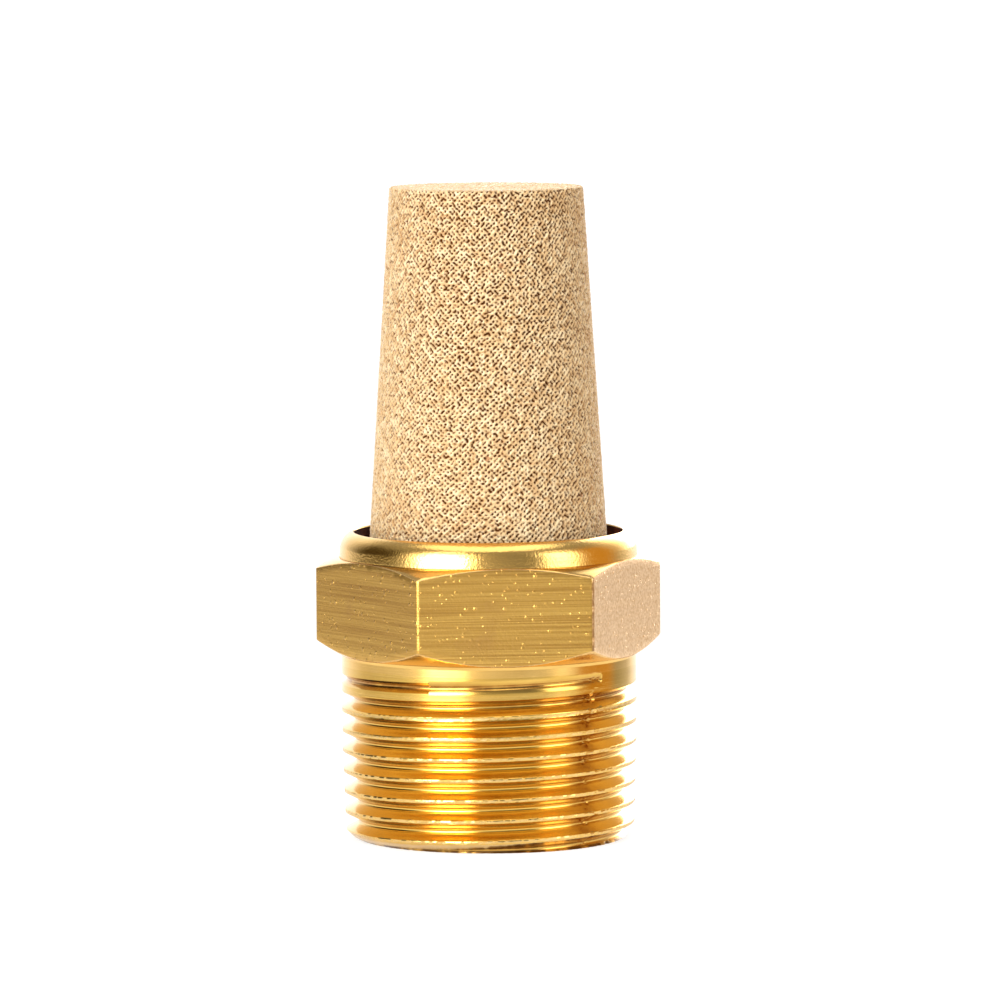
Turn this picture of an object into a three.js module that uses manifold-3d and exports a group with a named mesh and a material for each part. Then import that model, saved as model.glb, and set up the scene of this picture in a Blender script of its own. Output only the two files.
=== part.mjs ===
// A pneumatic exhaust muffler of the sintered-cone kind, for a 1 inch port, in two pieces:
//   threaded_hex_body    turned brass: tapered pipe thread, hexagon, and a lip rolled in over the cup
//   sintered_bronze_cup  porous bronze cone, closed on top and open below, held by its foot flange
// Air comes in through the threaded end and leaves through the wall of the cup.
// Millimetres, +Z up. The origin is on the axis, on the end face of the thread.
// One flat of the hexagon faces -Y.

import * as THREE from "three";
import { mergeVertices } from "three/addons/utils/BufferGeometryUtils.js";
import Module from "manifold-3d";

const { degToRad, clamp } = THREE.MathUtils;
const FULL_TURN = 2 * Math.PI;

// ---- pipe thread R 1 (11 threads per inch, 55 degree Whitworth form, taper 1:16) ----
const PITCH = 25.4 / 11;
const THREAD_DEPTH = 0.640327 * PITCH;
const CREST_SHARE = 0.16; // width of the flat that stands for a rounded crest or root, in pitches
const GAUGE_RADIUS = 33.249 / 2; // major radius in the gauge plane
const GAUGE_DISTANCE = 10.39; // from the end face to the gauge plane
const TAPER = 1 / 32; // gain in radius over length
const FIRST_CREST = 1.43; // height of the lowest crest where it faces -Y
const END_RADIUS = 15.25; // end face, at the foot of the lead-in chamfer
const LEAD_IN = 1.15; // height of the lead-in chamfer

// ---- where the die stopped: its chasers leave the last groove shallower in steps ----
const LAST_CHASER = degToRad(42); // from -Y towards +X, where the groove ends
const CHASER_SPACING = degToRad(72);
const LAST_GROOVE_TURN = 7; // full turns from the lowest groove to the last one
const STEP_DEPTHS = [0.25, 0.55, 0.8, 1.0, 1.15]; // below the neck, from the end of the groove backwards

// ---- body ----
const NECK_RADIUS = 16.65;
const BORE_RADIUS = 12.2;
const ACROSS_FLATS = 34;
const CORNER_RADIUS = ACROSS_FLATS / Math.sqrt(3);
const HEX_BOTTOM = 21;
const HEX_TOP = 31.95;
const CHAMFER_START = 16.95; // inner radius of both corner chamfers
const BOTTOM_CHAMFER = 1.7; // height lost at the corners
const TOP_CHAMFER = 1.2;

// ---- rolled lip: a bend round one centre, from upright to nearly flat ----
const LIP_RADIUS = 16.85;
const LIP_THICKNESS = 1.05;
const LIP_BEND = 2.05; // outer radius of the bend
const LIP_BEND_Z = 32.75;
const LIP_TURN = degToRad(75);
const LIP_STEPS = 6;

// ---- sintered cup ----
const SEAT_Z = 29.5;
const FLANGE_RADIUS = 15.4;
const FLANGE_TOP = 33;
const FLANGE_BEVEL = { across: 0.4, up: 0.6 };
const CONE_FOOT_RADIUS = 13.48;
const CONE_TOP_RADIUS = 10.92;
const CONE_TOP = 73.6;
const WALL = 3;
const ROOF_FILLET = 1.5;

// ---- facets ----
const ROUND_SEGMENTS = 96;
const THREAD_SEGMENTS = 60;

const wasm = await Module();
wasm.setup();

// A closed geometry as a manifold-3d solid.
function solid(geometry) {
  const bare = geometry.index ? geometry.toNonIndexed() : geometry.clone();
  bare.deleteAttribute("normal");
  bare.deleteAttribute("uv");
  const merged = mergeVertices(bare, 1e-4);
  return new wasm.Manifold(
    new wasm.Mesh({
      numProp: 3,
      vertProperties: merged.attributes.position.array,
      triVerts: new Uint32Array(merged.index.array),
    }),
  );
}

// A manifold-3d solid as a geometry for a mesh.
function geometryOf(made) {
  const { vertProperties, triVerts } = made.getMesh();
  const geometry = new THREE.BufferGeometry();
  geometry.setAttribute("position", new THREE.BufferAttribute(vertProperties, 3));
  geometry.setIndex(new THREE.BufferAttribute(triVerts, 1));
  geometry.computeVertexNormals();
  return geometry;
}

// A profile of [radius, height] pairs, listed with the material on its left, turned round +Z.
function turned(profile) {
  const points = profile.map(([radius, height]) => new THREE.Vector2(radius, height));
  return new THREE.LatheGeometry(points, ROUND_SEGMENTS).rotateX(Math.PI / 2);
}

// Points of an arc round [radius, height], from one angle above the outward direction to another.
function arc([radius, height], size, from, to, steps) {
  return Array.from({ length: steps + 1 }, (_, i) => {
    const angle = from + ((to - from) * i) / steps;
    return [radius + size * Math.cos(angle), height + size * Math.sin(angle)];
  });
}

// How far the die cut below the neck, at a place counted in radians back from the end of the groove.
function cutDepth(back) {
  if (back <= 0) return 0;
  const step = Math.floor(back / CHASER_SPACING);
  return step < STEP_DEPTHS.length ? STEP_DEPTHS[step] : Infinity;
}

// Radius of the thread at a height, where share is the place between two crests, from 0 to 1.
function threadRadius(height, share, back) {
  const crest = GAUGE_RADIUS + (height - GAUGE_DISTANCE) * TAPER;
  const fromCrest = Math.min(share, 1 - share);
  const downFlank = clamp((fromCrest - CREST_SHARE / 2) / (0.5 - CREST_SHARE), 0, 1);
  const fullCut = crest - THREAD_DEPTH * downFlank;
  const shallowCut = NECK_RADIUS - cutDepth(back) + THREAD_DEPTH * (1 - downFlank);
  return Math.min(NECK_RADIUS, Math.max(fullCut, shallowCut));
}

// The skin of a threaded rod follows the helix: a column of points every step round, from one crest
// to the next, so that each row of points stays on a crest, a flank's edge or a root.
const HALF_CREST = CREST_SHARE / 2;
const SHARES = [0, HALF_CREST, 0.5 - HALF_CREST, 0.5 + HALF_CREST, 1 - HALF_CREST, 1];
const ROWS = SHARES.length - 1;
const TURNS_BELOW = 2; // the rod starts this far below the lowest crest, and is cut off later
const TURNS = TURNS_BELOW + LAST_GROOVE_TURN + 3;
const COLUMNS = TURNS * THREAD_SEGMENTS;
const skinPoint = (column, row) => column * SHARES.length + row;
const axisHeight = (turnsAbove) => FIRST_CREST + PITCH * turnsAbove;

function rodPositions() {
  const endOfGroove = LAST_GROOVE_TURN * FULL_TURN + LAST_CHASER;
  const positions = [];
  for (let column = 0; column <= COLUMNS; column++) {
    const round = (column / THREAD_SEGMENTS - TURNS_BELOW) * FULL_TURN; // 0 faces -Y
    for (const share of SHARES) {
      const height = axisHeight(round / FULL_TURN + share);
      const radius = threadRadius(height, share, endOfGroove - round);
      positions.push(radius * Math.sin(round), -radius * Math.cos(round), height);
    }
  }
  positions.push(0, 0, axisHeight(-TURNS_BELOW - 1));
  positions.push(0, 0, axisHeight(TURNS - TURNS_BELOW + 2));
  return positions;
}

function rodSkin() {
  const index = [];
  for (let column = 0; column < COLUMNS; column++)
    for (let row = 0; row < ROWS; row++) {
      const corner = skinPoint(column, row);
      const next = skinPoint(column + 1, row);
      index.push(corner, next, next + 1, corner, next + 1, corner + 1);
    }
  return index;
}

// Each end is a fan from a point on the axis to one turn of the outermost row,
// and to the column that joins the two ends of that turn.
function rodEnds() {
  const index = [];
  const list = (count, at) => Array.from({ length: count }, (_, i) => at(i));
  const fan = (centre, rim) =>
    rim.forEach((from, i) => index.push(centre, rim[(i + 1) % rim.length], from));
  const low = skinPoint(COLUMNS + 1, 0);
  fan(low, [
    ...list(THREAD_SEGMENTS, (i) => skinPoint(i, 0)),
    ...list(ROWS, (i) => skinPoint(0, ROWS - i)),
  ]);
  fan(low + 1, [
    ...list(THREAD_SEGMENTS, (i) => skinPoint(COLUMNS - i, ROWS)),
    ...list(ROWS, (i) => skinPoint(COLUMNS, i)),
  ]);
  return index;
}

function threadedRod() {
  const geometry = new THREE.BufferGeometry();
  geometry.setAttribute("position", new THREE.Float32BufferAttribute(rodPositions(), 3));
  geometry.setIndex([...rodSkin(), ...rodEnds()]);
  return solid(geometry);
}

// The rod cut off at the end face, with its lead-in chamfer, and up to inside the hexagon.
function threadedEnd() {
  const top = HEX_BOTTOM + 1;
  const chamferTop = END_RADIUS + LEAD_IN;
  const clear = NECK_RADIUS + 1;
  const envelope = turned([
    [0, 0],
    [END_RADIUS, 0],
    [chamferTop, LEAD_IN],
    [clear, LEAD_IN],
    [clear, top],
    [0, top],
  ]);
  return threadedRod().intersect(solid(envelope));
}

function hexagonBar() {
  const shape = new THREE.Shape();
  for (let corner = 0; corner < 6; corner++) {
    const angle = (corner * Math.PI) / 3;
    const place = [CORNER_RADIUS * Math.cos(angle), CORNER_RADIUS * Math.sin(angle)];
    if (corner === 0) shape.moveTo(...place);
    else shape.lineTo(...place);
  }
  shape.closePath();
  const bar = new THREE.ExtrudeGeometry(shape, { depth: HEX_TOP - HEX_BOTTOM, bevelEnabled: false });
  return solid(bar.translate(0, 0, HEX_BOTTOM));
}

// The hexagon, with its corners chamfered above and below.
function hexagon() {
  const reach = CORNER_RADIUS + 1;
  const beyond = (reach - CHAMFER_START) / (CORNER_RADIUS - CHAMFER_START);
  const chamfered = turned([
    [0, HEX_BOTTOM],
    [CHAMFER_START, HEX_BOTTOM],
    [reach, HEX_BOTTOM + BOTTOM_CHAMFER * beyond],
    [reach, HEX_TOP - TOP_CHAMFER * beyond],
    [CHAMFER_START, HEX_TOP],
    [0, HEX_TOP],
  ]);
  return hexagonBar().intersect(solid(chamfered));
}

const lipCentre = [LIP_RADIUS - LIP_BEND, LIP_BEND_Z];

function lipOutside() {
  const foot = HEX_TOP - 2;
  const bend = arc(lipCentre, LIP_BEND, 0, LIP_TURN, LIP_STEPS);
  const tipHeight = bend.at(-1)[1];
  return solid(turned([[0, foot], [LIP_RADIUS, foot], ...bend, [0, tipHeight]]));
}

// Everything that the bore, the seat of the cup and the inside of the lip take away.
function bodyHollow() {
  const bend = arc(lipCentre, LIP_BEND - LIP_THICKNESS, 0, LIP_TURN, LIP_STEPS);
  const [beyondTip] = arc(lipCentre, LIP_BEND + 1, LIP_TURN, LIP_TURN, 1);
  return solid(
    turned([
      [0, -1],
      [BORE_RADIUS, -1],
      [BORE_RADIUS, SEAT_Z],
      [LIP_RADIUS - LIP_THICKNESS, SEAT_Z],
      ...bend,
      beyondTip,
      [0, beyondTip[1]],
    ]),
  );
}

function bodyGeometry() {
  const outside = threadedEnd().add(hexagon()).add(lipOutside());
  return geometryOf(outside.subtract(bodyHollow()));
}

function cupGeometry() {
  const taper = (CONE_FOOT_RADIUS - CONE_TOP_RADIUS) / (CONE_TOP - FLANGE_TOP);
  const innerRadius = (height) => CONE_FOOT_RADIUS - WALL - taper * (height - FLANGE_TOP);
  const roof = CONE_TOP - WALL;
  const filletFoot = roof - ROOF_FILLET;
  const filletCentre = [innerRadius(filletFoot) - ROOF_FILLET, filletFoot];
  return turned([
    [0, roof],
    ...arc(filletCentre, ROOF_FILLET, Math.PI / 2, 0, 3),
    [innerRadius(SEAT_Z), SEAT_Z],
    [FLANGE_RADIUS, SEAT_Z],
    [FLANGE_RADIUS, FLANGE_TOP - FLANGE_BEVEL.up],
    [FLANGE_RADIUS - FLANGE_BEVEL.across, FLANGE_TOP],
    [CONE_FOOT_RADIUS, FLANGE_TOP],
    [CONE_TOP_RADIUS, CONE_TOP],
    [0, CONE_TOP],
  ]);
}

const brass = new THREE.MeshStandardMaterial({ color: 0xd9a63a, metalness: 1, roughness: 0.28 });
const sinteredBronze = new THREE.MeshStandardMaterial({ color: 0xe6c892, metalness: 0.6, roughness: 0.75 });

const body = new THREE.Mesh(bodyGeometry(), brass);
body.name = "threaded_hex_body";

const cup = new THREE.Mesh(cupGeometry(), sinteredBronze);
cup.name = "sintered_bronze_cup";

const muffler = new THREE.Group();
muffler.add(body, cup);
export default muffler;
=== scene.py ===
"""The looks of a pneumatic muffler: a brass hexagon body with a pipe thread, and a bronze cup.

Each visible piece stands for one CAD node and keeps its outline. Lengths are in millimetres until
a mesh is made. Angles round the axis run from -Y towards +X.
"""

import math

import bpy
import numpy as np
from mathutils import Matrix, Vector


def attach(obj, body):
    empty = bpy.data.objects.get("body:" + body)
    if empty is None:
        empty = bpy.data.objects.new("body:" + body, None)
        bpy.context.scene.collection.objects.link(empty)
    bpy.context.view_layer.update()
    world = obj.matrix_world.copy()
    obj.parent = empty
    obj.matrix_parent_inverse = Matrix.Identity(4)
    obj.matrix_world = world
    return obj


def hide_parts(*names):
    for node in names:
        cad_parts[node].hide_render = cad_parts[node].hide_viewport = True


MM = 0.001
TURN = 2 * math.pi
RNG = np.random.default_rng(20)

# pipe thread R 1: 11 turns per inch, 55 degree Whitworth form, taper 1:16
PITCH = 25.4 / 11
THREAD_DEPTH = 0.640327 * PITCH
ROOT_ROUND = 0.137329 * PITCH
FLANK = math.radians(27.5)
GAUGE_RADIUS = 33.249 / 2
GAUGE_HEIGHT = 10.39
TAPER = 1 / 32
FIRST_CREST = 1.43
END_RADIUS = 15.25
LEAD_IN = 1.15
# the die's chasers stopped here and left the last groove shallower in steps, from its end backwards
LAST_CHASER = math.radians(42)
CHASER_SPACING = math.radians(72)
LAST_GROOVE_TURN = 7
STEP_DEPTHS = (0.25, 0.55, 0.8, 1.0, 1.15)
FULL_GROOVE, NO_GROOVE = 99.0, -99.0
CHASER_TICK = LAST_CHASER - 0.06
THREAD_TOP = 19.85
# points this close to the thread's lower or upper end are put on it
SNAP = 0.04
# rows nearer to a crest than this, in pitches, are part of it
CREST_REACH = 0.08
# how far cut metal is torn away and lifted at random, on a crest and elsewhere
TORN = (0.011, 0.001)
LIFTED = (0.012, 0.001)
# small nicks in the crests, and the tick that the chasers left on each turn, its width in radians
NICK_CHANCE, NICK_DEPTH = 0.015, 0.03
TICK_DEPTH, TICK_WIDTH, TICK_SCATTER = 0.1, 0.014, 0.03
# the thread is cut all round below the first height, and darker in its roots above the second
ALL_CUT_BELOW = 17.0
DARKER_FROM = 15.5
# the rows of points start below the end face and run past the neck, where they are cut off
ROW_TURNS = 12
FIRST_ROW_TURN = -2
# places of the rows between one crest (0) and the next (1)
THREAD_ROWS = (
    0.0, 0.075, 0.1, 0.125, 0.24, 0.378, 0.41, 0.45, 0.5, 0.55, 0.59, 0.622, 0.76, 0.875, 0.9, 0.925,
)

# rest of the body
NECK = 16.65
BORE = 12.2
BORE_CHAMFER = 0.4
APOTHEM = 17.0
CORNER = APOTHEM / math.cos(math.pi / 6)
EDGE_ROUND = 0.5
HEX_BOTTOM = 21.0
HEX_TOP = 31.95
CHAMFER_START = 16.95
BOTTOM_SLOPE = 1.7 / (CORNER - CHAMFER_START)
TOP_SLOPE = 1.2 / (CORNER - CHAMFER_START)
LIP = 16.85
LIP_THICKNESS = 1.05
LIP_BEND = 2.05
LIP_BEND_Z = 32.75
LIP_TURN = math.radians(75)
LIP_LEAN = math.radians(6)
SEAT = 29.5
BODY_COLUMNS = 540
SHARP_EDGE = math.radians(48)

# cup
FLANGE = 15.4
FLANGE_TOP = 33.0
SLOT_FLOOR = 14.2
CONE_FOOT = 13.48
CONE_TOP = 10.92
TOP_Z = 73.6
CONE_TAPER = (CONE_FOOT - CONE_TOP) / (TOP_Z - FLANGE_TOP)
TOP_ROUND = 0.3
WALL = 3.0
ROOF_START = 69.1
ROOF_ROUND = 1.5

# pores: half lengths, half widths and depths, and shifts along and across a row, in places
PORE_SPACING = 0.44
ROW_STEP = PORE_SPACING / math.sqrt(2)
PORE_LONG = (0.13, 0.2)
PORE_SHORT = (0.1, 0.125)
PORE_DEEP = (0.26, 0.52)
PORE_SHIFT = (0.15, 0.3)
DEEPEST = 0.42
# what the rows of pores cover: the side, counted at a mean radius, and a square over the top
MEAN_CONE = 12.2
SIDE_LENGTH = 48.0
TOP_SQUARE = 26.0
# distances between the points that show them, and where they stop near the top's centre
SKIN_STEP = 0.115
TOP_STEP = 0.1
TOP_HOLE = 0.3
SKIN_COLUMNS = 680

# values of the body's "zone" attribute, 0.2 apart
ZONES = {
    "thread": 0.0, "neck": 0.2, "chamfer": 0.4, "flat": 0.6, "lip": 0.8, "inside": 1.0, "slot": 1.2,
}
# how much painted sheen, a paler colour, each flat has, from the front one round towards +X
PAINTED_SHEEN = (0.05, 0.9, 0.4, 0.15, 0.5, 0.05)
# the corner with a dark jagged line
DARK_LINE_CORNER = math.radians(30)


def ring_noise(count, width):
    """Random values round a ring with unit spread, smoothed over a number of neighbours."""
    kernel = np.hanning(width + 2)[1:-1]
    kernel /= math.sqrt((kernel**2).sum())
    values = RNG.normal(size=count + width - 1)
    values[count:] = values[: width - 1]
    return np.convolve(values, kernel, "valid")


def without_repeats(corners):
    """Faces as lists of vertex numbers, leaving out repeated corners and faces with no area."""
    faces = []
    for face in corners.tolist():
        ring = [v for i, v in enumerate(face) if v != face[i - 1]]
        if len(ring) > 2 and len(set(ring)) == len(ring):
            faces.append(ring)
    return faces


def bell(distance, width):
    """1 at no distance, fading smoothly to 0 over a few widths."""
    return np.exp(-((distance / width) ** 2))


def band(low, high):
    """Faces between two rings of vertex numbers."""
    return without_repeats(np.stack([low, np.roll(low, -1), np.roll(high, -1), high], axis=1))


class Skin:
    """Rings of points round the axis, with float attributes, that become one closed mesh."""

    def __init__(self, angle, **defaults):
        self.angle = angle
        self.count = len(angle)
        self.defaults = defaults
        self.points = []
        self.values = {key: [] for key in defaults}
        self.faces = []

    def ring(self, radius, height, **values):
        start = len(self.points) * self.count
        radius = np.broadcast_to(radius, self.angle.shape)
        height = np.broadcast_to(height, self.angle.shape)
        place = [radius * np.sin(self.angle), -radius * np.cos(self.angle), height]
        self.points.append(np.stack(place, axis=1))
        for key, default in self.defaults.items():
            value = values.get(key, default)
            self.values[key].append(np.array(np.broadcast_to(value, self.angle.shape), dtype=float))
        return np.arange(start, start + self.count)

    def bands(self, rings):
        for below, above in zip(rings, rings[1:]):
            self.faces += band(below, above)

    def mesh(self, name):
        points = np.concatenate(self.points)
        values = {key: np.concatenate(parts) for key, parts in self.values.items()}
        used = np.unique(np.concatenate([np.array(face) for face in self.faces]))
        renumber = np.zeros(len(points), dtype=int)
        renumber[used] = np.arange(len(used))
        faces = [renumber[face].tolist() for face in self.faces]
        return make_object(name, points[used], faces, {key: part[used] for key, part in values.items()})


def make_object(name, points, faces, attributes=None):
    """A smooth-shaded mesh object from points in millimetres."""
    mesh = bpy.data.meshes.new(name)
    mesh.from_pydata((np.asarray(points) * MM).tolist(), [], faces)
    mesh.polygons.foreach_set("use_smooth", [True] * len(mesh.polygons))
    for key, values in (attributes or {}).items():
        layer = mesh.attributes.new(key, "FLOAT", "POINT")
        layer.data.foreach_set("value", np.ascontiguousarray(values, dtype=np.float32))
    mesh.update()
    made = bpy.data.objects.new(name, mesh)
    bpy.context.scene.collection.objects.link(made)
    return made


# ---------------------------------------------------------------- body


def body_angles():
    """Angles of the columns, with extra ones at the corners of the hexagon."""
    even = np.arange(BODY_COLUMNS) * TURN / BODY_COLUMNS
    corners = (np.arange(6) + 0.5) * TURN / 6
    extra = [corner + math.radians(step) for corner in corners for step in (-0.9, -0.4, 0.4, 0.9)]
    return np.unique(np.round(np.append(even, extra), 6))


def hex_radius(angle):
    """Distance from the axis to the hexagon's side, whose corners are a little rounded."""
    from_flat = (angle + math.pi / 6) % (math.pi / 3) - math.pi / 6
    from_corner = math.pi / 6 - np.abs(from_flat)
    centre = (APOTHEM - EDGE_ROUND) / math.cos(math.pi / 6)
    across = centre * np.sin(from_corner)
    rounded = centre * np.cos(from_corner) + np.sqrt(np.maximum(EDGE_ROUND**2 - across**2, 0))
    return np.where(across < EDGE_ROUND / 2, rounded, APOTHEM / np.cos(from_flat))


def groove_profile(share):
    """Height of the thread above its root, at a place between two crests."""
    from_root = np.abs(share - 0.5) * PITCH
    tangent = ROOT_ROUND * math.cos(FLANK)
    in_arc = np.minimum(from_root, tangent)
    arc = ROOT_ROUND - np.sqrt(ROOT_ROUND**2 - in_arc**2)
    flank = (from_root - in_arc) / math.tan(FLANK)
    return np.minimum(arc + flank, THREAD_DEPTH)


def thread_radius(height, share, back):
    """Radius of the thread; back counts radians from the end of the last groove."""
    profile = groove_profile(share)
    full = GAUGE_RADIUS + (height - GAUGE_HEIGHT) * TAPER - THREAD_DEPTH + profile
    step = np.clip(np.floor(back / CHASER_SPACING), -1, len(STEP_DEPTHS)).astype(int)
    # step -1 lies past the groove's end and picks the last entry
    shallow = NECK - np.array([*STEP_DEPTHS, FULL_GROOVE, NO_GROOVE])[step] + profile
    radius = np.minimum(NECK, np.maximum(full, shallow))
    return np.minimum(radius, np.where(height < LEAD_IN, END_RADIUS + height, NECK))


def add_thread(skin, low, high):
    """Rows that follow the helix, cut off at the end face (low) and below the neck (high)."""
    angle, count, per_turn = skin.angle, skin.count, len(THREAD_ROWS)
    end = LAST_GROOVE_TURN * TURN + LAST_CHASER
    rows = []
    for number in range(per_turn * ROW_TURNS):
        share = THREAD_ROWS[number % per_turn]
        turns = number // per_turn + FIRST_ROW_TURN + angle / TURN
        height = FIRST_CREST + PITCH * (turns + share)
        radius = thread_radius(height, share, end - turns * TURN)
        # 1 where the die has cut, 0 on the plain neck
        cut = np.clip((NECK + 0.01 - radius) / 0.06, 0, 1)
        cut[height < ALL_CUT_BELOW] = 1
        crest = share < CREST_REACH or share > 1 - CREST_REACH
        kind = 0 if crest else 1
        torn = np.abs(ring_noise(count, 2)) * TORN[kind]
        torn = torn + (RNG.random(count) < NICK_CHANCE) * (NICK_DEPTH if crest else 0.0)
        scatter = RNG.uniform(-TICK_SCATTER, TICK_SCATTER)
        torn = torn + TICK_DEPTH * bell(angle - CHASER_TICK - scatter, TICK_WIDTH)
        lift = ring_noise(count, 4) * LIFTED[kind]
        worn = 0.0
        if crest:
            worn = cut * (0.75 + 0.25 * ring_noise(count, 2)) * (1.0 if share == 0 else 0.35)
        # painted shade along the bottom rim, carried in the same attribute as the wear
        at_rim = 0.8 * np.clip(1.2 - height / 0.4, 0, 1)
        worn = np.maximum(worn, at_rim)
        in_root = np.clip(1.2 - abs(share - 0.5) / 0.2, 0, 1)
        in_last_grooves = np.clip((height - DARKER_FROM) / 1.5, 0, 1)
        near_tick = 0.0 if crest else 0.7 * bell(angle - CHASER_TICK + 0.02, 0.1)
        near_end = 0.5 * np.clip(1.3 - height, 0, 1)
        # darker in the last grooves' roots, round the ticks and near the end face
        dirt = cut * np.maximum(np.maximum(in_root * in_last_grooves, near_tick), near_end)
        zone = np.where(cut > 0, ZONES["thread"], ZONES["neck"])
        ring = skin.ring(radius - torn * cut, height + lift * cut, worn=worn, zone=zone, dirt=dirt)
        ring = np.where(height < SNAP, low, ring)
        rows.append(np.where(height > THREAD_TOP - SNAP, high, ring))
    last = len(rows) - 1
    for number in range(last):
        here = np.append(rows[number], rows[min(number + per_turn, last)][0])
        above = np.append(rows[number + 1], rows[min(number + 1 + per_turn, last)][0])
        skin.faces += without_repeats(np.stack([here[:-1], here[1:], above[1:], above[:-1]], axis=1))


def hexagon_rings(skin):
    """From the neck over the lower chamfer, the flats and the upper chamfer."""
    side = hex_radius(skin.angle)
    low_edge = HEX_BOTTOM + BOTTOM_SLOPE * (side - CHAMFER_START)
    high_edge = HEX_TOP - TOP_SLOPE * (side - CHAMFER_START)
    chamfer, flat = ZONES["chamfer"], ZONES["flat"]
    soft = 0.1
    neck_heights = (20.2, 20.6, HEX_BOTTOM - 0.06)
    rings = [skin.ring(NECK, height, zone=ZONES["neck"]) for height in neck_heights]
    rings.append(skin.ring(NECK + 0.05, HEX_BOTTOM, zone=chamfer))
    for part in (0.0, 0.35, 0.7):
        out = (side - CHAMFER_START) * part
        height = HEX_BOTTOM + BOTTOM_SLOPE * out
        rings.append(skin.ring(CHAMFER_START + out, height, zone=chamfer))
    nick = np.abs(ring_noise(skin.count, 3)) * 0.015
    rings.append(skin.ring(side - soft, low_edge - soft * BOTTOM_SLOPE, zone=chamfer, worn=0.3))
    rings.append(skin.ring(side - 0.02 - nick, low_edge + 0.02, zone=flat, worn=0.7))
    for part in np.linspace(0.01, 0.99, 14):
        rings.append(skin.ring(side, low_edge + (high_edge - low_edge) * part, zone=flat))
    rings.append(skin.ring(side - 0.02 - nick, high_edge - 0.02, zone=flat, worn=0.7))
    rings.append(skin.ring(side - soft, high_edge + soft * TOP_SLOPE, zone=chamfer, worn=0.3))
    for part in (0.7, 0.35, 0.0):
        out = (side - CHAMFER_START) * part
        rings.append(skin.ring(CHAMFER_START + out, HEX_TOP - TOP_SLOPE * out, zone=chamfer))
    return rings


def lip_rings(skin):
    """The rolled lip, which leans in a little from its foot, outside and inside, down to the seat."""
    bend_start = LIP_BEND_Z + LIP_BEND * math.sin(LIP_LEAN)
    centre = LIP - (bend_start - HEX_TOP) * math.tan(LIP_LEAN) - LIP_BEND * math.cos(LIP_LEAN)

    def bent(size, turn, zone, wave=0.0):
        """A ring at a distance and direction from the bend's centre."""
        radius, height = centre + size * math.cos(turn), LIP_BEND_Z + size * math.sin(turn)
        return skin.ring(radius + wave, height + wave, zone=ZONES[zone])

    wave = ring_noise(skin.count, 45) * 0.012
    rings = [skin.ring(LIP, HEX_TOP - 0.04, zone=ZONES["lip"])]
    for turn in np.linspace(LIP_LEAN, LIP_TURN, 15):
        rings.append(bent(LIP_BEND, turn, "lip", wave * (turn / LIP_TURN)))
    # the lip's inside, down into the slot, gets painted shade in the material
    for part in (0.15, 0.5, 0.85):
        rings.append(bent(LIP_BEND - LIP_THICKNESS * part, LIP_TURN, "slot"))
    for turn in np.linspace(LIP_TURN, 0, 6):
        rings.append(bent(LIP_BEND - LIP_THICKNESS, turn, "slot"))
    rings.append(skin.ring(LIP - LIP_THICKNESS, SEAT, zone=ZONES["slot"]))
    return rings


def make_body():
    angle = body_angles()
    flat_number = np.round(angle / (TURN / 6)).astype(int) % 6
    dark_corner_line = bell(angle - DARK_LINE_CORNER, 0.008)
    painted_sheen = np.array(PAINTED_SHEEN)[flat_number]
    skin = Skin(angle, worn=0.0, dirt=0.0, zone=ZONES["inside"], painted_sheen=painted_sheen, dark_corner_line=dark_corner_line)
    share = (-FIRST_CREST / PITCH - angle / TURN) % 1
    burr = np.abs(ring_noise(skin.count, 3)) * 0.05
    far_back = np.full(skin.count, LAST_GROOVE_TURN * TURN)
    end_radius = thread_radius(np.zeros(skin.count), share, far_back) - 0.02 - burr
    # the end face's outer edge carries the painted shade of the bottom rim
    low = skin.ring(end_radius, 0.0, zone=ZONES["thread"], worn=0.8)
    high = skin.ring(NECK, THREAD_TOP, zone=ZONES["neck"])
    add_thread(skin, low, high)
    bore = [skin.ring(BORE, height) for height in (SEAT, 20.0, 10.0, BORE_CHAMFER)]
    mouth = skin.ring(BORE + BORE_CHAMFER, 0.0)
    end_face = [skin.ring(edge, 0.0, zone=ZONES["thread"]) for edge in (BORE + 0.55, end_radius - 0.15)]
    skin.bands([high, *hexagon_rings(skin), *lip_rings(skin), *bore, mouth, *end_face, low])
    made = skin.mesh("threaded_hex_body_fine")
    made.data.set_sharp_from_angle(angle=SHARP_EDGE)
    return made


# ---------------------------------------------------------------- cup


def pitted(u, v, rows, per_row, width):
    """Depth below an outer skin, and a tone, of metal powder with pores in staggered rows.

    u runs from 0 to 1 along a row, v in millimetres across the rows, and width is a row's length. Each
    pore is a slanted oval pit, shifted at random from its place.
    """
    shape = (rows, per_row)
    shift_u, shift_v = RNG.uniform(-1, 1, (2, *shape)) * np.array(PORE_SHIFT)[:, None, None]
    long = RNG.uniform(*PORE_LONG, shape)
    short = RNG.uniform(*PORE_SHORT, shape)
    slant = RNG.uniform(0, math.pi, shape)
    deep = RNG.uniform(*PORE_DEEP, shape)
    shade = RNG.random(shape)
    depth = np.zeros(u.shape)
    nearest = np.full(u.shape, 9.0)
    tone = np.full(u.shape, 0.2)
    for near_row in (-1, 0, 1, 2):
        row = np.floor(v / ROW_STEP).astype(int) + near_row
        offset = 0.5 * (row % 2)
        exists = (row >= 0) & (row < rows)
        row = np.clip(row, 0, rows - 1)
        for near_place in (-1, 0, 1, 2):
            place = np.floor(u * per_row - offset).astype(int) + near_place
            pore = (row, place % per_row)
            du = ((place + offset + shift_u[pore]) / per_row - u) * width
            dv = (row + shift_v[pore]) * ROW_STEP - v
            along = du * np.cos(slant[pore]) + dv * np.sin(slant[pore])
            aside = dv * np.cos(slant[pore]) - du * np.sin(slant[pore])
            away = (along / long[pore]) ** 2 + (aside / short[pore]) ** 2
            depth -= exists * deep[pore] * np.exp(-away)
            closer = exists & (away < nearest)
            tone = np.where(closer, shade[pore], tone)
            nearest = np.where(closer, away, nearest)
    return np.maximum(depth, -DEEPEST), tone


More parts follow.
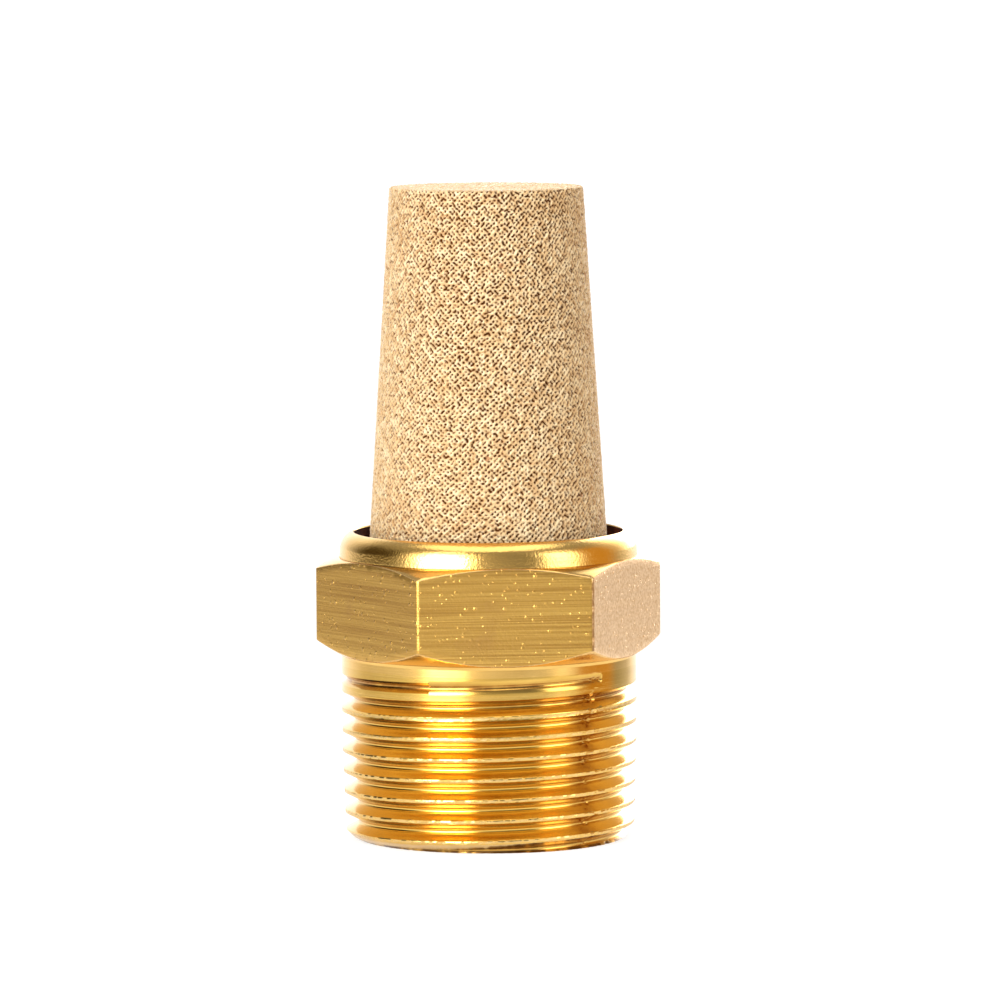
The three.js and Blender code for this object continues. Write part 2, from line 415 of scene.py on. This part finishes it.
def cone_outline():
    """Radius, height and direction of the outward normal, from the cone's foot to near its top centre.

    The second value is the number of points that count as side, the rest being the top.
    """
    lean = math.atan(CONE_TAPER)
    slant = math.hypot(TOP_Z - FLANGE_TOP, CONE_FOOT - CONE_TOP)
    bend_centre = CONE_TOP + TOP_ROUND * (math.tan(lean) - 1 / math.cos(lean))
    side = [
        (CONE_FOOT - s * math.sin(lean), FLANGE_TOP + s * math.cos(lean), lean)
        for s in np.arange(0.0, slant - TOP_ROUND, SKIN_STEP)
    ]
    corner = [
        (bend_centre + TOP_ROUND * math.cos(turn), TOP_Z - TOP_ROUND + TOP_ROUND * math.sin(turn), turn)
        for turn in np.linspace(lean, math.pi / 2, 5)[1:-1]
    ]
    top = [(radius, TOP_Z, math.pi / 2) for radius in np.arange(bend_centre, TOP_HOLE, -TOP_STEP)]
    return np.array(side + corner + top), len(side) + 2


def cone_skin(angle):
    """The outline's points pushed in by the pores, with how deep and which tone each one has."""
    outline, side_rows = cone_outline()
    radius, height, normal = (column[:, None] for column in outline.T)
    shape = (len(outline), len(angle))
    u = np.broadcast_to(angle / TURN, shape)
    v = np.broadcast_to(np.arange(len(outline))[:, None] * SKIN_STEP, shape)
    width = np.broadcast_to(radius * TURN, shape)
    per_row = round(TURN * MEAN_CONE / (2 * ROW_STEP))
    depth, tone = pitted(u, v, int(SIDE_LENGTH / ROW_STEP), per_row, width)
    x, y = (radius * np.sin(angle))[side_rows:], (radius * np.cos(angle))[side_rows:]
    u, v = x / TOP_SQUARE + 0.5, y + TOP_SQUARE / 2
    rows, per_row = int(TOP_SQUARE / ROW_STEP), round(TOP_SQUARE / (2 * ROW_STEP))
    depth[side_rows:], tone[side_rows:] = pitted(u, v, rows, per_row, TOP_SQUARE)
    return radius + depth * np.cos(normal), height + depth * np.sin(normal), depth, tone


def make_cup():
    angle = np.arange(SKIN_COLUMNS) * TURN / SKIN_COLUMNS
    skin = Skin(angle, pore=0.5, tone=0.4, inside=1.0)
    radius, height, depth, tone = cone_skin(angle)
    # how deep each point lies in a pore, which sets the painted shade there
    pore = np.clip((-depth - 0.07) / 0.26, 0, 1)
    outside = [
        skin.ring(radius[k], height[k], pore=pore[k], tone=tone[k], inside=0.0)
        for k in range(len(radius))
    ]

    def cavity_radius(height):
        return CONE_FOOT - WALL - CONE_TAPER * (height - FLANGE_TOP)

    foot = [
        (SLOT_FLOOR, FLANGE_TOP),
        (FLANGE - 0.4, FLANGE_TOP),
        (FLANGE, FLANGE_TOP - 0.6),
        (FLANGE, SEAT),
    ]
    cavity = [(cavity_radius(z), z) for z in (SEAT, 40.0, 50.0, 60.0, ROOF_START)]
    roof_edge = cavity_radius(ROOF_START) - ROOF_ROUND
    roof = [
        (roof_edge + ROOF_ROUND * math.cos(turn), ROOF_START + ROOF_ROUND * math.sin(turn))
        for turn in (0.5, 1.05, 1.57)
    ]
    hidden = [skin.ring(*place) for place in foot + cavity + roof]
    roof_centre = skin.ring(0.0, TOP_Z - WALL)
    top_centre = skin.ring(0.0, TOP_Z - 0.06, pore=0.0, inside=0.0)
    # each centre is a single point
    roof_centre[:] = roof_centre[0]
    top_centre[:] = top_centre[0]
    skin.bands([roof_centre, *hidden[::-1], *outside, top_centre])
    return skin.mesh("sintered_bronze_cup_fine")


# ---------------------------------------------------------------- materials


class Shading:
    """Builds the nodes of a material or of a world."""

    def __init__(self, block):
        block.use_nodes = True
        self.tree = block.node_tree
        self.shader = self.tree.nodes.get("Principled BSDF")

    def node(self, kind, **settings):
        made = self.tree.nodes.new(kind)
        for key, value in settings.items():
            setattr(made, key, value)
        return made

    def feed(self, socket, value):
        """Links a socket to another, or sets its value."""
        if isinstance(value, bpy.types.NodeSocket):
            self.tree.links.new(value, socket)
        elif isinstance(value, tuple):
            socket.default_value = (*value, 1) if len(socket.default_value) == 4 else value
        else:
            socket.default_value = value

    def set(self, **values):
        """Feeds the shader's sockets, named with underscores for spaces."""
        for key, value in values.items():
            self.feed(self.shader.inputs[key.replace("_", " ")], value)

    def attribute(self, name):
        return self.node("ShaderNodeAttribute", attribute_name=name).outputs["Fac"]

    def place(self, stretch):
        """The place on the object in metres, times a stretch."""
        mapping = self.node("ShaderNodeMapping")
        self.feed(mapping.inputs["Scale"], stretch)
        self.feed(mapping.inputs["Vector"], self.node("ShaderNodeTexCoord").outputs["Object"])
        return mapping.outputs["Vector"]

    def noise(self, scale, detail=3.0, stretch=(1, 1, 1)):
        made = self.node("ShaderNodeTexNoise")
        self.feed(made.inputs["Scale"], scale)
        self.feed(made.inputs["Detail"], detail)
        self.feed(made.inputs["Vector"], self.place(stretch))
        return made.outputs["Fac"]

    def cells(self, scale):
        """Distance to the nearest of randomly strewn points."""
        made = self.node("ShaderNodeTexVoronoi")
        self.feed(made.inputs["Scale"], scale)
        self.feed(made.inputs["Vector"], self.place((1, 1, 1)))
        return made.outputs["Distance"]

    def ramp(self, source, *stops):
        """Colours or grey values at places along a factor."""
        made = self.node("ShaderNodeValToRGB")
        elements = made.color_ramp.elements
        while len(elements) < len(stops):
            elements.new(0.5)
        for element, (place, colour) in zip(elements, stops):
            element.position = place
            element.color = (*colour, 1) if isinstance(colour, tuple) else (colour, colour, colour, 1)
        self.feed(made.inputs["Fac"], source)
        return made.outputs["Color"]

    def math(self, operation, *values):
        made = self.node("ShaderNodeMath", operation=operation)
        for socket, value in zip(made.inputs, values):
            self.feed(socket, value)
        return made.outputs[0]

    def times(self, first, second):
        return self.math("MULTIPLY", first, second)

    def add(self, start, part, amount):
        """The start plus an amount of the part."""
        return self.math("MULTIPLY_ADD", part, amount, start)

    def mix(self, factor, first, second):
        made = self.node("ShaderNodeMix", data_type="RGBA")
        for key, value in (("Factor", factor), ("A", first), ("B", second)):
            self.feed(next(s for s in made.inputs if s.name == key and s.enabled), value)
        return next(s for s in made.outputs if s.enabled)

    def bump(self, height, distance):
        made = self.node("ShaderNodeBump")
        self.feed(made.inputs["Distance"], distance)
        self.feed(made.inputs["Height"], height)
        return made.outputs["Normal"]


def brass_material():
    material = bpy.data.materials.new("turned_brass")
    m = Shading(material)
    worn = m.attribute("worn")
    zone = m.attribute("zone")
    height = m.node("ShaderNodeSeparateXYZ")
    m.feed(height.inputs[0], m.place((1 / MM, 1 / MM, 1 / MM)))
    height = height.outputs["Z"]
    is_thread = m.math("LESS_THAN", zone, ZONES["thread"] + 0.1)
    is_flat = m.math("COMPARE", zone, ZONES["flat"], 0.08)
    is_lip = m.math("COMPARE", zone, ZONES["lip"], 0.08)
    is_slot = m.math("GREATER_THAN", zone, ZONES["slot"] - 0.12)

    # lines that run round the axis, and marks
    fine_lines = m.noise(45, 3, (1, 1, 150))
    broad_lines = m.noise(50, 2, (1, 1, 40))
    lines = m.add(m.times(broad_lines, 0.25), fine_lines, 0.75)
    patches = m.noise(170, 3)
    clusters = m.ramp(m.noise(240, 2), (0.42, 0.4), (0.6, 1.0))
    specks = m.times(m.ramp(m.cells(950), (0.08, 1.0), (0.22, 0.0)), clusters)
    pits = m.times(m.ramp(m.cells(1300), (0.05, 1.0), (0.16, 0.0)), is_flat)
    grit = m.noise(3600, 2)

    # gold where it is turned, a little darker on the thread as painted shade, and redder drawn metal on
    # the flats
    turned = m.ramp(patches, (0.3, (0.76, 0.45, 0.115)), (0.7, (0.84, 0.53, 0.16)))
    thread = m.ramp(patches, (0.3, (0.69, 0.41, 0.085)), (0.7, (0.77, 0.485, 0.118)))
    drawn = m.ramp(
        lines,
        (0.38, (0.42, 0.22, 0.039)),
        (0.46, (0.50, 0.275, 0.052)),
        (0.6, (0.62, 0.37, 0.08)),
    )
    drawn = m.mix(m.ramp(patches, (0.58, 0.0), (0.72, 0.4)), drawn, (0.40, 0.20, 0.055))
    # painted sheen: a paler colour standing in for the white sheen that flats at a grazing angle show
    pale = m.ramp(m.noise(3000, 2), (0.35, (0.76, 0.49, 0.25)), (0.65, (0.98, 0.71, 0.44)))
    drawn = m.mix(m.attribute("painted_sheen"), drawn, pale)
    colour = m.mix(is_flat, m.mix(is_thread, turned, thread), drawn)

    # rubbed edges above the end face, the dark jagged line along one corner, painted shade in the slot,
    # marks that are darker in the last grooves, round the ticks and near the end face, and painted
    # shade along the bottom rim
    rubbed = m.times(worn, m.ramp(height, (0.4, 0.0), (0.6, 0.45)))
    colour = m.mix(rubbed, colour, (0.82, 0.60, 0.34))
    # a dark jagged line along one corner of the flats
    jagged = m.ramp(m.noise(900, 2), (0.4, 0.15), (0.55, 1.0))
    jagged = m.times(jagged, m.times(m.attribute("dark_corner_line"), is_flat))
    colour = m.mix(m.times(jagged, 0.9), colour, (0.16, 0.07, 0.02))
    # painted shade: the slot, which the lip hides from the light, is coloured near black with a reddish
    # cast
    slot_shade = m.ramp(m.noise(420, 3), (0.35, (0.024, 0.005, 0.001)), (0.65, (0.09, 0.02, 0.006)))
    colour = m.mix(is_slot, colour, slot_shade)
    # darker in the last grooves' roots, round the ticks and near the end face
    darker_marks = m.times(m.attribute("dirt"), m.ramp(m.noise(500, 3), (0.3, 0.35), (0.6, 0.9)))
    colour = m.mix(darker_marks, colour, (0.33, 0.135, 0.03))
    # painted shade along the bottom rim, jagged, just above the end face
    rim = m.ramp(height, (0.2, 1.0), (0.42, 0.0))
    rim = m.times(rim, m.ramp(worn, (0.15, 0.0), (0.4, 1.0)))
    rim = m.times(rim, m.ramp(m.noise(700, 3), (0.38, 0.0), (0.52, 0.9)))
    colour = m.mix(rim, colour, (0.09, 0.035, 0.012))

    rough = m.math("MULTIPLY_ADD", fine_lines, 0.1, 0.11)
    rough = m.add(rough, is_flat, 0.22)
    rough = m.add(rough, is_lip, 0.04)
    rough = m.add(rough, worn, 0.2)
    rough = m.add(rough, is_slot, 0.7)
    matte = m.add(is_flat, is_lip, 0.9)
    relief = m.add(m.times(m.times(specks, is_flat), 5.0), lines, 0.8)
    relief = m.add(relief, m.times(grit, matte), 2.2)
    relief = m.add(relief, pits, -4.0)
    # no metal in the slot, so that its painted shade shows no bright reflection
    metal = m.math("SUBTRACT", 1.0, is_slot)
    m.set(Base_Color=colour, Metallic=metal, Roughness=rough, Normal=m.bump(relief, 0.012 * MM))
    m.set(Specular_IOR_Level=0.05)
    return material


def bronze_material():
    material = bpy.data.materials.new("sintered_bronze")
    m = Shading(material)
    pore = m.attribute("pore")
    inside = m.attribute("inside")

    # pale powder, stained and speckled, with painted shade in the pores, darker the deeper they are,
    # and dark dots mostly in them
    powder = m.ramp(
        m.attribute("tone"),
        (0.0, (0.51, 0.30, 0.13)),
        (0.5, (0.66, 0.46, 0.24)),
        (1.0, (0.81, 0.65, 0.41)),
    )
    stain = m.ramp(m.noise(180, 3), (0.35, (0.52, 0.32, 0.14)), (0.65, (0.69, 0.50, 0.28)))
    colour = m.mix(0.3, powder, stain)
    speck = m.ramp(m.cells(240), (0.06, 1.0), (0.1, 0.0))
    colour = m.mix(m.times(speck, 0.7), colour, (0.30, 0.10, 0.03))
    # painted shade in the pores, from how deep each point lies
    pore_shade = m.ramp(pore, (0.05, 0.0), (0.35, 0.45), (0.7, 1.0))
    colour = m.mix(pore_shade, colour, (0.10, 0.028, 0.003))
    dots = m.ramp(m.cells(2200), (0.1, 1.0), (0.24, 0.0))
    dots = m.times(dots, m.ramp(pore, (0.0, 0.3), (0.15, 0.9)))
    colour = m.mix(dots, colour, (0.06, 0.016, 0.004))

    # the cavity and the flange, where the grains are only painted and bumped, with painted shade
    # between them
    cells = m.cells(1 / (PORE_SPACING * MM))
    between = m.ramp(cells, (0.25, 0.0), (0.65, 1.0))
    colour = m.mix(inside, colour, m.mix(between, (0.80, 0.58, 0.30), (0.06, 0.02, 0.005)))
    rounded = m.times(cells, m.times(inside, -1.0))
    m.set(Base_Color=colour, Metallic=0.2, Roughness=0.5, Normal=m.bump(rounded, 0.2 * MM))
    m.set(Specular_IOR_Level=0.1)
    m.set(Sheen_Weight=0.9, Sheen_Roughness=0.28, Sheen_Tint=(1.0, 0.92, 0.87))
    return material


# ---------------------------------------------------------------- stage, light and camera

# the camera: its direction from the object, its distance, and the point it looks at, in metres
VIEW_AZIMUTH = math.radians(-6.3)
VIEW_ELEVATION = math.radians(5.046)
VIEW_ROLL = math.radians(-0.35)
VIEW_DISTANCE = 0.7898
TARGET_HEIGHT, TARGET_ASIDE = 0.0381, 0.0014
LENS = 251.65

# the light table, in millimetres
FLOOR_RADIUS, FLOOR_Z, FLOOR_CORNERS = 120, -0.05, 96

# the key light: strength, size, tilt from straight down, and turn from the camera's side
KEY_STRENGTH = 0.5
KEY_SIZE = math.radians(30)
KEY_TILT = math.radians(52)
KEY_TURN = math.radians(-37)

# what stands round the object, with every brightness a share of the softbox's
SOFTBOX = 8.5
SOFTBOX_CORE = 17
CEILING, ZENITH, BACKDROP = 0.38, 2.4, 1.1
ORANGE = (0.69, 0.385, 0.078)
OLIVE = (0.06, 0.042, 0.012)
# brightness or colour by angle in degrees, from the camera's side towards +X
LOW_WALLS = (
    (-180, 1.4), (-146, 1.4), (-122, 1.0), (-104, 0.8), (-70, 0.92), (-56, 1.2), (-46, 3.2),
    (-24, 3.2), (-14, 1.2), (0, 0.94), (27, 0.74), (47, 0.85), (57, 1.4), (67, 1.1), (78, ORANGE),
    (108, ORANGE), (118, 0.45), (136, 0.7), (150, 1.3), (180, 1.4),
)
HIGH_WALLS = (
    (-180, 1.7), (-148, 1.3), (-131, 0.5), (-119, OLIVE), (-82, OLIVE), (-73, 0.3), (-64, 1.0),
    (-56, 4.0), (-47, SOFTBOX), (-29, SOFTBOX), (-20, 5.5), (-13, 0.8), (-2, 0.46), (34, 0.26),
    (43, 0.5), (51, 4.5), (67, 4.2), (76, 1.0), (84, ORANGE), (108, ORANGE), (124, 0.8), (140, 2.6),
    (152, 5.5), (180, 5.0),
)
CORE_SPAN = ((-56, 0.0), (-48, 1.0), (-22, 1.0), (-14, 0.0))


def make_floor():
    """A small white light table, open when seen from below, which runs into the white behind it."""
    angle = np.arange(FLOOR_CORNERS) * TURN / FLOOR_CORNERS
    x, y = FLOOR_RADIUS * np.sin(angle), -FLOOR_RADIUS * np.cos(angle)
    points = np.stack([x, y, np.full(FLOOR_CORNERS, FLOOR_Z)], axis=1)
    made = make_object("floor", points, [list(range(FLOOR_CORNERS))])
    material = bpy.data.materials.new("white_floor")
    m = Shading(material)
    tint = m.ramp(m.noise(20, 2), (0.4, (0.29, 0.29, 0.29)), (0.6, (0.31, 0.31, 0.31)))
    m.set(Base_Color=tint, Roughness=0.9, Specular_IOR_Level=0.0)
    m.set(Emission_Color=(1.0, 1.0, 1.0), Emission_Strength=0.8)
    see_through = m.node("ShaderNodeMixShader")
    m.feed(see_through.inputs[0], m.node("ShaderNodeNewGeometry").outputs["Backfacing"])
    m.feed(see_through.inputs[1], m.shader.outputs[0])
    m.feed(see_through.inputs[2], m.node("ShaderNodeBsdfTransparent").outputs[0])
    m.feed(m.tree.nodes["Material Output"].inputs["Surface"], see_through.outputs[0])
    made.data.materials.append(material)


def scaled(value):
    """A brightness or a colour as a share of the softbox's brightness."""
    return tuple(v / SOFTBOX for v in (value if isinstance(value, tuple) else (value,) * 3))


def make_walls():
    """A surrounding light: bright panels and darker gaps to reflect, and plain white behind."""
    world = bpy.data.worlds.new("studio")
    m = Shading(world)
    bpy.context.scene.world = world
    direction = m.node("ShaderNodeSeparateXYZ")
    m.feed(direction.inputs[0], m.node("ShaderNodeTexCoord").outputs["Generated"])
    x, y, z = direction.outputs
    azimuth = m.math("ARCTAN2", x, m.times(y, -1.0))
    turned = m.math("MULTIPLY_ADD", azimuth, 1 / TURN, 0.5 - VIEW_AZIMUTH / TURN)
    turned = m.math("FRACT", turned)

    def round_about(stops):
        return m.ramp(turned, *((angle / 360 + 0.5, value) for angle, value in stops))

    low, high = (
        round_about([(angle, scaled(value)) for angle, value in walls])
        for walls in (LOW_WALLS, HIGH_WALLS)
    )
    colour = m.mix(m.math("MULTIPLY_ADD", z, 16.0, 0.3), low, high)
    # the softbox's bright core is there for reflections only; the grooves reflect it three times
    path = m.node("ShaderNodeLightPath")
    core = m.times(round_about(CORE_SPAN), path.outputs["Is Glossy Ray"])
    core = m.times(core, m.ramp(z, (0.06, 0.0), (0.1, 1.0), (0.24, 1.0), (0.32, 0.0)))
    colour = m.mix(core, colour, scaled(SOFTBOX_CORE))
    colour = m.mix(m.ramp(z, (0.5, 0.0), (0.72, 1.0)), colour, scaled(CEILING))
    colour = m.mix(m.ramp(z, (0.85, 0.0), (0.91, 1.0)), colour, scaled(ZENITH))
    colour = m.mix(path.outputs["Is Camera Ray"], colour, scaled(BACKDROP))
    background = m.tree.nodes["Background"]
    m.feed(background.inputs["Color"], colour)
    m.feed(background.inputs["Strength"], SOFTBOX)


def make_key_light():
    lamp = bpy.data.lights.new("key", "SUN")
    lamp.energy = KEY_STRENGTH
    lamp.angle = KEY_SIZE
    made = bpy.data.objects.new("key", lamp)
    made.rotation_euler = (KEY_TILT, 0, VIEW_AZIMUTH + KEY_TURN)
    bpy.context.scene.collection.objects.link(made)


def make_camera():
    data = bpy.data.cameras.new("view")
    data.lens = LENS
    data.sensor_width = 36
    data.clip_start = 0.05
    data.clip_end = 20
    made = bpy.data.objects.new("view", data)
    aside = Vector((math.cos(VIEW_AZIMUTH), math.sin(VIEW_AZIMUTH), 0))
    level = Vector((math.sin(VIEW_AZIMUTH), -math.cos(VIEW_AZIMUTH), 0))
    outward = level * math.cos(VIEW_ELEVATION) + Vector((0, 0, math.sin(VIEW_ELEVATION)))
    target = Vector((0, 0, TARGET_HEIGHT)) + aside * TARGET_ASIDE
    place = target + VIEW_DISTANCE * outward
    facing = (target - place).to_track_quat("-Z", "Y").to_matrix().to_4x4()
    made.matrix_world = Matrix.Translation(place) @ facing @ Matrix.Rotation(VIEW_ROLL, 4, "Z")
    bpy.context.scene.collection.objects.link(made)
    bpy.context.scene.camera = made
    bpy.context.scene.view_settings.view_transform = "Standard"


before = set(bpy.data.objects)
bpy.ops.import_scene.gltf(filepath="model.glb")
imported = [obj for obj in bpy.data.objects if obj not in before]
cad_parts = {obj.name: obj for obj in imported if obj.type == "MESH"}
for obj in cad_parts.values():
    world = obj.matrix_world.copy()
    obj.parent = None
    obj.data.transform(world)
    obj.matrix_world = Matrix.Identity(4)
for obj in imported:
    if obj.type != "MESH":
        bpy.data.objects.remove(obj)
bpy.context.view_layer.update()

for piece, node, slot, material in (
    (make_body(), "threaded_hex_body", "turned_brass", brass_material()),
    (make_cup(), "sintered_bronze_cup", "sintered_bronze", bronze_material()),
):
    piece.data.materials.append(material)
    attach(piece, "root")
    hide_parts(node)

make_floor()
make_walls()
make_key_light()
make_camera()
